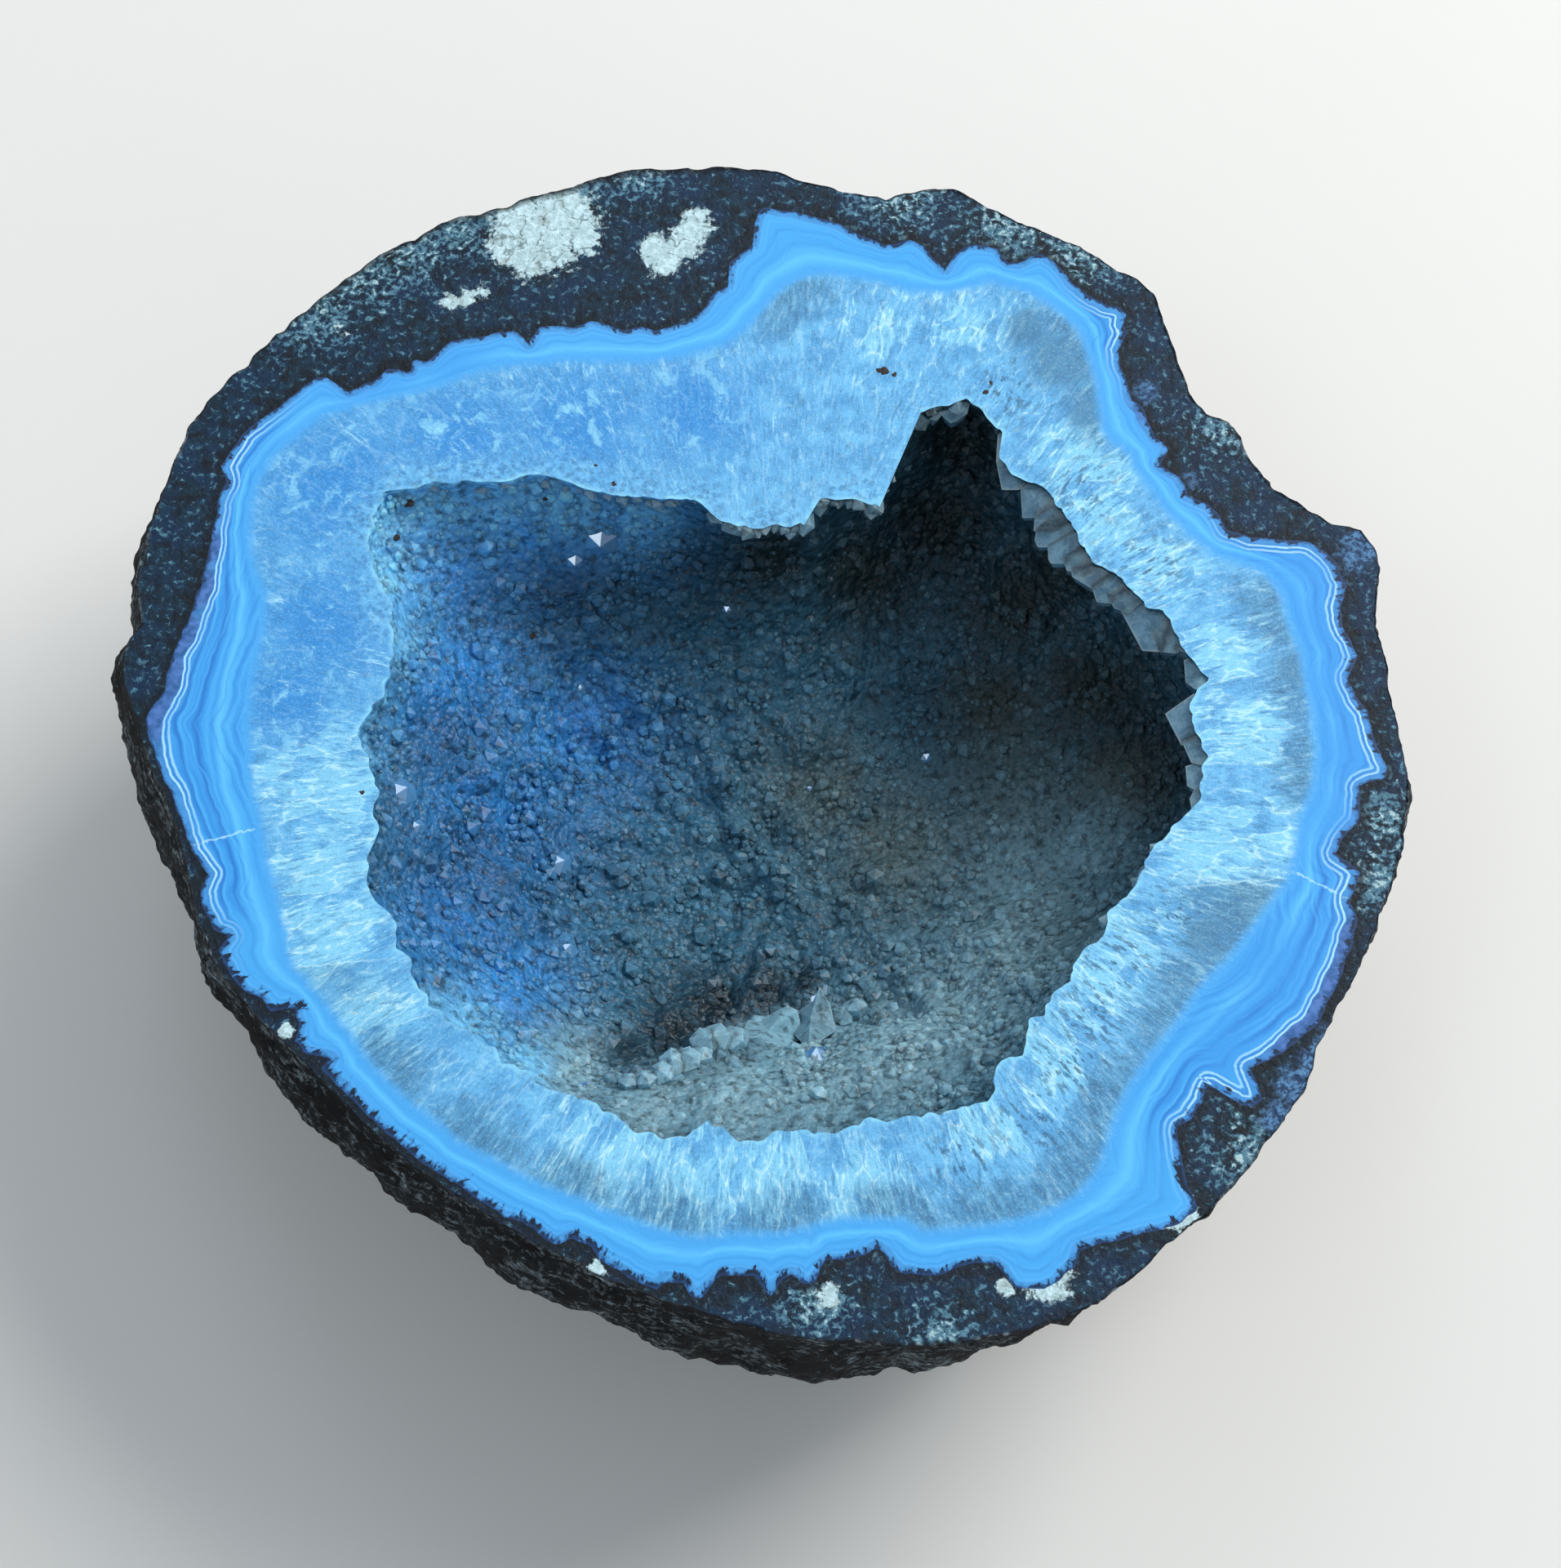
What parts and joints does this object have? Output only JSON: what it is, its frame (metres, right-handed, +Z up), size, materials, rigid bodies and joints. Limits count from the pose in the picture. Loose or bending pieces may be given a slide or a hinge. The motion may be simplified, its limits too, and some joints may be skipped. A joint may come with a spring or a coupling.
{
  "type": "geode half",
  "caption": "Half of a blue banded agate geode with a flat sawn face, milky quartz walls and a hollow lined with small crystals, resting on its rounded back.",
  "frame": {"origin": "the middle of the stone's box, on the surface that it rests on", "axes": "+Z up, out of the sawn face; +X to the right of the sawn face and +Y to its far side, where the rock is thickest"},
  "size_m": [0.1134, 0.1132, 0.044],
  "materials": {
    "rock": "rough dark volcanic rock, sawn smooth on top, with pale flecks and white mineral patches",
    "agate": "polished, bright blue with fine parallel bands",
    "milky_quartz": "polished, milky and fibrous, pale blue to white",
    "clear_crystals": "small clear to smoky quartz points with bright flat faces"
  },
  "bodies": {
    "root": {"rock_rind": "rock", "agate_band": "agate", "quartz_wall": "milky_quartz", "crystal_crust": "clear_crystals"}
  },
  "joints": []
}
